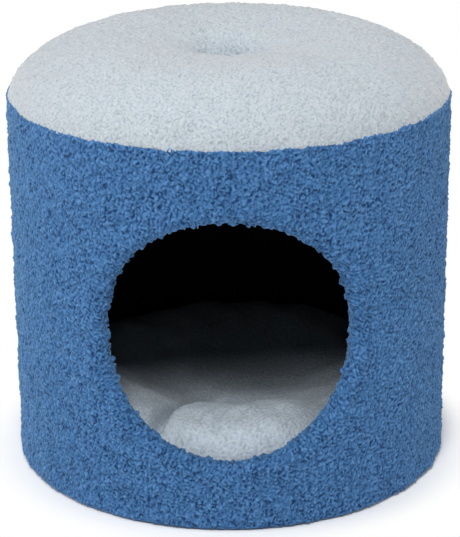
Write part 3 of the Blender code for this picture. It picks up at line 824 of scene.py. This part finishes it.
def wall_pile(place):
    """Share, level and height of the tufts at points of the blue plush: its pile is short under the
    base and full on the base edge and the top edge, with longer tufts round the entrance."""
    high = place[:, 2]
    base = HEM_LOW + BASE_ROUNDING
    share = 0.12 + 0.88 * smooth_step(high, HEM_LOW + 0.0002, HEM_LOW + 0.003)
    level = 0.95 - 0.6 * smooth_step(high, SEAM_HEIGHT - TOP_ROUNDING, SEAM_HEIGHT)
    level -= 0.4 * (1 - smooth_step(high, base, base + 0.02))
    flat = np.stack([np.arctan2(place[:, 0], -place[:, 1]) * PILE_RADIUS,
                     high - ENTRANCE_CENTRE], axis=-1)
    lip = 1 - smooth_step(beyond_oval(flat, LIP_DISTANCE), 0.0, LIP_BAND)
    return share, level, TUFT_RISE + LIP_RISE * lip


class CATHOUSE_OT_wall_plush(bpy.types.Operator):
    """Blue plush in one sheet: hem, rounded base edge, wall, turned top edge, rolled entrance"""

    bl_idname = "cathouse.wall_plush"
    bl_label = "Wall plush"

    def execute(self, context):
        look = context.scene.cathouse_plush
        item = mesh_object("wall_plush", *wall_sheet(look.columns))
        share, level, tufts = wall_pile(points_of(item))
        raise_pile(item, look.curl, look.depth, 11, share, level, PILE_ROLL, tufts)
        place = points_of(item)
        place[:, 2] = np.maximum(place[:, 2], GAP)
        set_points(item, place)
        material = plush_finish(
            "blue_plush", look, tip_highlight=(2.25, 1.82, 1.65), fibre=750.0, fibre_shade=0.55, patches=0.18)
        place_piece(item, "house", ["wall_cover"], material)
        return {"FINISHED"}


def crown_height(radius):
    """Height of the crown: rise times (1 - share^power)^(1/fall), less the dish and the tuft."""
    share = np.clip(radius / CROWN_RADIUS, 0, 1)
    dome = CROWN_RISE * (1 - share ** CROWN_POWER) ** (1 / CROWN_FALL)
    dish = DISH_DEPTH * np.clip(1 - (radius / DISH_RADIUS) ** 2, 0, None) ** 2
    tuft = TUFT_DEPTH / (1 + (radius / TUFT_RADIUS) ** 6)
    return CROWN_BASE + dome - dish - tuft


class CATHOUSE_OT_crown_plush(bpy.types.Operator):
    """Pale plush over the crown, tucked behind the blue at its edge, and the button in its dimple"""

    bl_idname = "cathouse.crown_plush"
    bl_label = "Crown plush"

    def execute(self, context):
        look = context.scene.cathouse_crown
        radius = CROWN_RADIUS * np.sin(np.linspace(0, math.pi / 2, 4000))
        profile = np.stack([radius, crown_height(radius)], axis=-1)
        skirt = [(CROWN_RADIUS - inward, CROWN_BASE - down) for inward, down in CROWN_TUCK]
        item = domed_disc("crown_plush", look.cells, profile, skirt)
        place = points_of(item)
        share = smooth_step(np.hypot(place[:, 0], place[:, 1]), 0.006, 0.014)
        level = 0.7 - 0.4 * (1 - smooth_step(place[:, 2], CROWN_BASE, CROWN_BASE + 0.004))
        raise_pile(item, look.curl, look.depth, 71, share, level, PILE_ROLL, CROWN_TUFT_RISE)
        material = plush_finish(
            "pale_plush", look, tip_highlight=(1.12, 1.11, 1.1), fibre=1000.0, fibre_shade=0.12, patches=0.05)
        place_piece(item, "house", ["top_cover"], material)

        side = BUTTON_LOW + BUTTON_SIDE
        dome = arc((0, side), (BUTTON_RADIUS, BUTTON_HIGH - side), 90, 0, 40)
        rim = [(BUTTON_RADIUS, BUTTON_LOW + BUTTON_SIDE / 2), (BUTTON_RADIUS - 0.001, BUTTON_LOW + GAP)]
        button = domed_disc("button_plush", 44, dome, rim)
        raise_pile(button, look.curl, look.depth * 0.5, 72)
        place_piece(button, "house", ["tuft_button"], material)
        return {"FINISHED"}


def nest_profile():
    """Top of the cushion from its middle: flat nest, a half wave of a cosine up to the rim's crest,
    and a quarter of an ellipse down to the seam."""
    crest = CUSHION_RADIUS - RIM_WIDTH
    low = CUSHION_LOW + NEST_RISE
    high = CUSHION_LOW + RIM_RISE
    bowl = np.linspace(0, math.pi, 400)
    inner = np.stack([NEST_RADIUS + (crest - NEST_RADIUS) * bowl / math.pi,
                      low + (high - low) * (1 - np.cos(bowl)) / 2], axis=-1)
    outer = arc((crest, CUSHION_SEAM), (RIM_WIDTH, high - CUSHION_SEAM), 90, 0, 399)[1:]
    return np.concatenate([[(0.0, low)], inner, outer])


def nest_base_profile():
    """Base of the cushion from its middle: flat, and a quarter of an ellipse up to the seam."""
    flat = CUSHION_RADIUS - CUSHION_CURVE
    curve = arc((flat, CUSHION_SEAM), (CUSHION_CURVE, CUSHION_SEAM - CUSHION_LOW), -90, 0, 59)
    return np.concatenate([[(0.0, CUSHION_LOW)], curve])


def beside_line(points, start, end, bow, fade):
    """Signed distance of each point from a line bowed as a parabola, with plus on its left, and how
    much of the line is there: 1 along its middle and 0 past its ends."""
    start, end = np.array(start), np.array(end)
    length = np.linalg.norm(end - start)
    way = (end - start) / length
    along = (points[:, :2] - start) @ way / length
    off = (points[:, :2] - start) @ np.array([-way[1], way[0]])
    off -= bow * 4 * np.clip(along * (1 - along), 0, None)
    return off, smooth_step(along, *fade[:2]) * (1 - smooth_step(along, *fade[2:]))


def bell(value, width):
    """Bell curve: e to the power of minus the square of value over width."""
    return np.exp(-(value / width) ** 2)


def nest_rise(place, fold_depth):
    """Rise of the cushion's top at its points: bell curves across the fold, its shoulder and the
    puckers, bell curves both ways for the swellings, and a sag in the front right."""
    x, y = place[:, 0], place[:, 1]
    off, whole = beside_line(place, **FOLD_LINE)
    rise = SHOULDER_RISE * bell(off - SHOULDER_PLACE, SHOULDER_WIDTH) * whole
    rise -= fold_depth * bell(off, FOLD_WIDTH) * whole
    rise -= FRONT_SAG * smooth_step(x, 0.040, 0.095) * (1 - smooth_step(y, -0.090, -0.030))
    for middle, width, high in SWELLINGS:
        rise += high * bell(x - middle[0], width[0]) * bell(y - middle[1], width[1])
    for start, end, deep in PUCKERS:
        off, whole = beside_line(place, start, end, PUCKER_BOW, PUCKER_FADE)
        rise -= deep * bell(off, PUCKER_WIDTH) * whole
    return rise


def nest_painted_shade(place):
    """Share of painted shade on the cushion's top where the entrance's edges shade it: left of the
    fold, on the right, and behind the middle.
    """
    off, _ = beside_line(place, **FOLD_LINE)
    left = 0.57 * smooth_step(off, -0.004, 0.008)
    right = 0.68 * smooth_step(place[:, 0], 0.045, 0.085)
    behind = smooth_step(place[:, 1], -0.046, 0.022) * smooth_step(place[:, 0], -0.08, -0.02)
    return np.maximum(np.maximum(left, right), 0.85 * behind)


class CATHOUSE_OT_nest_cushion(bpy.types.Operator):
    """Loose cushion: plush top with a high soft rim, a fold on the left, and a cloth base"""

    bl_idname = "cathouse.nest_cushion"
    bl_label = "Nest cushion"

    def execute(self, context):
        look = context.scene.cathouse_nest
        item = domed_disc("nest_top", look.cells, nest_profile(),
                          [(CUSHION_RADIUS - 0.0006, CUSHION_SEAM - 0.0008)])
        place = points_of(item)
        # Painted shade on the cushion's top, kept as an attribute for its material
        nap = nest_painted_shade(place)
        inside = 1 - smooth_step(np.hypot(place[:, 0], place[:, 1]), 0.150, 0.168)
        soft = 0.0014 * waves(place, 0.11, 20, 5) + 0.0006 * waves(place, 0.04, 24, 6)
        place[:, 2] += inside * (soft + nest_rise(place, look.crease))
        set_points(item, place)
        raise_pile(item, look.curl, look.depth, 131, roll=PILE_ROLL)
        store(item, "nap", nap)
        material = plush_finish(
            "nest_plush", look, tip_highlight=(1.12, 1.12, 1.12), fibre=1000.0, fibre_shade=0.2, patches=0.1, nap="nap")
        place_piece(item, "cushion", ["cushion_top_cover", "cushion_filling"], material)

        under = domed_disc("nest_base", 120, nest_base_profile())
        under.data.flip_normals()
        place = points_of(under)
        lift = 0.0003 * (1 + np.clip(waves(place, 0.05, 16, 8), -1, 1))
        place[:, 2] += lift * (place[:, 2] < CUSHION_SEAM - 0.001)
        set_points(under, place)
        cloth = cloth_finish("cushion_cloth", look.base)
        place_piece(under, "cushion", ["cushion_base_cover"], cloth)
        return {"FINISHED"}


def cloth_disc(name, cells, radius, height, ripple, seed, down=False):
    """Round sheet of cloth, flat but for soft waves of the height of ripple."""
    item = domed_disc(name, cells, np.array([(0.0, height), (radius, height)]))
    place = points_of(item)
    place[:, 2] += ripple * ripples(place, 0.06, seed)
    set_points(item, place)
    if down:
        item.data.flip_normals()
    return item


def lining_sheet(columns, ripple):
    """Points and quads of the cloth on the panel's inside, facing the axis: a holed sheet bent to a
    drum, with soft waves."""
    place, kept, _ = holed_sheet(
        columns, LINING_LOW - ENTRANCE_CENTRE, LINING_HIGH - ENTRANCE_CENTRE, LINING_HOLE)
    low, high = place[0, 0, 1], place[-1, 0, 1]
    up = LINING_LOW + (place[..., 1] - low) / (high - low) * (LINING_HIGH - LINING_LOW)
    wave = ripple * ripples(on_drum(LINING_RADIUS, place[..., 0], up), 0.09, 41)
    points = on_drum(LINING_RADIUS + wave, place[..., 0], up).reshape(-1, 3)
    return used_only(points, grid_quads(numbers(place.shape), kept, wrap=True)[:, ::-1])


class CATHOUSE_OT_linings(bpy.types.Operator):
    """Charcoal cloth on the wall, floor and ceiling inside, and the dust cloth under the base"""

    bl_idname = "cathouse.linings"
    bl_label = "Linings"

    def execute(self, context):
        look = context.scene.cathouse_cloth
        charcoal = cloth_finish("charcoal_cloth", look.lining)
        wall = mesh_object("wall_lining_cloth", *lining_sheet(look.columns, look.ripple))
        place_piece(wall, "house", ["wall_lining"], charcoal)

        middle = LINING_THICK / 2
        for name, height, node, rest, down in (
            ("floor_lining_cloth", FLOOR - middle, "floor_lining", "base_board", False),
            ("ceiling_lining_cloth", CEILING_LOW + middle, "ceiling_lining", "top_board", True),
        ):
            item = cloth_disc(name, 80, LINING_DISC, height, look.ripple, 43, down)
            place_piece(item, "house", [node], charcoal)
        under = cloth_disc(
            "dust_cloth", 80, CLOTH_RADIUS, CLOTH_THICK / 2, CLOTH_THICK * 0.3, 47, True)
        place_piece(under, "house", ["underside_cloth"],
                    cloth_finish("dust_cloth", look.under, 700.0))
        return {"FINISHED"}


class CATHOUSE_OT_frame_finishes(bpy.types.Operator):
    """Hardboard, plywood, foam, card, twine and wire on the parts of the frame"""

    bl_idname = "cathouse.frame_finishes"
    bl_label = "Frame finishes"

    def execute(self, context):
        look = context.scene.cathouse_frame
        wire = [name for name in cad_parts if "staple" in name] + ["tuft_washer"]
        dress(["wall_panel", "joint_strip"], hardboard_finish(look.hardboard))
        dress(["base_board", "top_board"], plywood_finish(look.plywood))
        dress(["wall_foam", "top_foam"], foam_finish(look.foam))
        dress(["tack_strip"], card_finish(look.card))
        dress(["tuft_twine"], twine_finish(look.twine))
        dress(wire, wire_finish(look.steel))
        return {"FINISHED"}


class CATHOUSE_OT_stage(bpy.types.Operator):
    """Pale floor that turns white away from the drum, soft lamps and the camera"""

    bl_idname = "cathouse.stage"
    bl_label = "Stage"

    def execute(self, context):
        look = context.scene.cathouse_stage
        self.floor()
        self.lamps(look)
        self.world(look)
        self.camera(look)
        context.scene.view_settings.view_transform = "Standard"
        return {"FINISHED"}

    def floor(self):
        corners = FLOOR_HALF * np.array([(-1, -1, 0), (1, -1, 0), (1, 1, 0), (-1, 1, 0)])
        item = mesh_object("studio_floor", corners, np.array([(0, 1, 2, 3)]))
        made = Finish("studio_floor", 0.9, {"Specular IOR Level": 0.0, "Base Color": WHITE})
        away = made.node("VectorMath", {0: made.place}, operation="LENGTH").outputs["Value"]
        plain = made.times(made.remap(away, WHITE_NEAR, WHITE_FAR), seen_directly(made.tree))
        white = made.node("Emission", {"Color": WHITE, "Strength": 1.0})
        blend = made.node("MixShader", {0: plain, 1: made.shader.outputs[0], 2: white.outputs[0]})
        made.feed(made.tree.nodes["Material Output"].inputs["Surface"], blend.outputs[0])
        item.data.materials.append(made.material)

    def lamps(self, look):
        for name, (spot, size) in LAMPS.items():
            data = bpy.data.lights.new(name + "_lamp", "AREA")
            data.shape = "DISK"
            data.size = size
            data.energy = getattr(look, name)
            lamp = new_object(name + "_lamp", data)
            lamp.location = spot
            lamp.rotation_euler = (Vector(LAMP_AIM) - Vector(spot)).to_track_quat("-Z", "Y").to_euler()

    def world(self, look):
        world = bpy.data.worlds.new("studio")
        world.use_nodes = True
        tree = world.node_tree
        plain = tree.nodes["Background"]
        white = tree.nodes.new("ShaderNodeBackground")
        for ground, strength in ((plain, look.ambient), (white, 1.0)):
            ground.inputs["Color"].default_value = WHITE
            ground.inputs["Strength"].default_value = strength
        blend = tree.nodes.new("ShaderNodeMixShader")
        tree.links.new(seen_directly(tree), blend.inputs[0])
        tree.links.new(plain.outputs[0], blend.inputs[1])
        tree.links.new(white.outputs[0], blend.inputs[2])
        tree.links.new(blend.outputs[0], tree.nodes["World Output"].inputs["Surface"])
        bpy.context.scene.world = world

    def camera(self, look):
        data = bpy.data.cameras.new("camera")
        data.sensor_fit = "VERTICAL"
        data.sensor_height = 36.0
        data.lens = look.lens
        data.clip_end = 50.0
        camera = new_object("camera", data)
        away = look.distance
        camera.location = (
            away * math.sin(look.azimuth), -away * math.cos(look.azimuth), look.height)
        turn = Matrix.Rotation(look.azimuth, 3, "Z") @ Matrix.Rotation(
            math.pi / 2 - look.pitch, 3, "X") @ Matrix.Rotation(look.roll, 3, "Z")
        camera.rotation_euler = turn.to_euler()
        bpy.context.scene.camera = camera


class CATHOUSE_PT_panel(bpy.types.Panel):
    """Every piece of the cat house, with the sizes and colours that it is made with"""

    bl_label = "Cat House"
    bl_idname = "CATHOUSE_PT_panel"
    bl_space_type = "VIEW_3D"
    bl_region_type = "UI"
    bl_category = "Cat House"

    def draw(self, context):
        for prop, kind, operator in GROUPS:
            box = self.layout.box()
            group = getattr(context.scene, prop)
            for name in kind.__annotations__:
                box.prop(group, name)
            box.operator(operator.bl_idname)


GROUPS = (
    ("cathouse_plush", PlushLook, CATHOUSE_OT_wall_plush),
    ("cathouse_crown", CrownLook, CATHOUSE_OT_crown_plush),
    ("cathouse_nest", NestLook, CATHOUSE_OT_nest_cushion),
    ("cathouse_cloth", ClothLook, CATHOUSE_OT_linings),
    ("cathouse_frame", FrameLook, CATHOUSE_OT_frame_finishes),
    ("cathouse_stage", StageLook, CATHOUSE_OT_stage),
)


def register():
    for prop, kind, operator in GROUPS:
        bpy.utils.register_class(kind)
        setattr(bpy.types.Scene, prop, PointerProperty(type=kind))
        bpy.utils.register_class(operator)
    bpy.utils.register_class(CATHOUSE_PT_panel)


def unregister():
    bpy.utils.unregister_class(CATHOUSE_PT_panel)
    for prop, kind, operator in reversed(GROUPS):
        bpy.utils.unregister_class(operator)
        delattr(bpy.types.Scene, prop)
        bpy.utils.unregister_class(kind)


def main():
    """Register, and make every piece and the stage."""
    register()
    bpy.ops.cathouse.wall_plush()
    bpy.ops.cathouse.crown_plush()
    bpy.ops.cathouse.nest_cushion()
    bpy.ops.cathouse.linings()
    bpy.ops.cathouse.frame_finishes()
    bpy.ops.cathouse.stage()


if __name__ == "__main__":
    main()
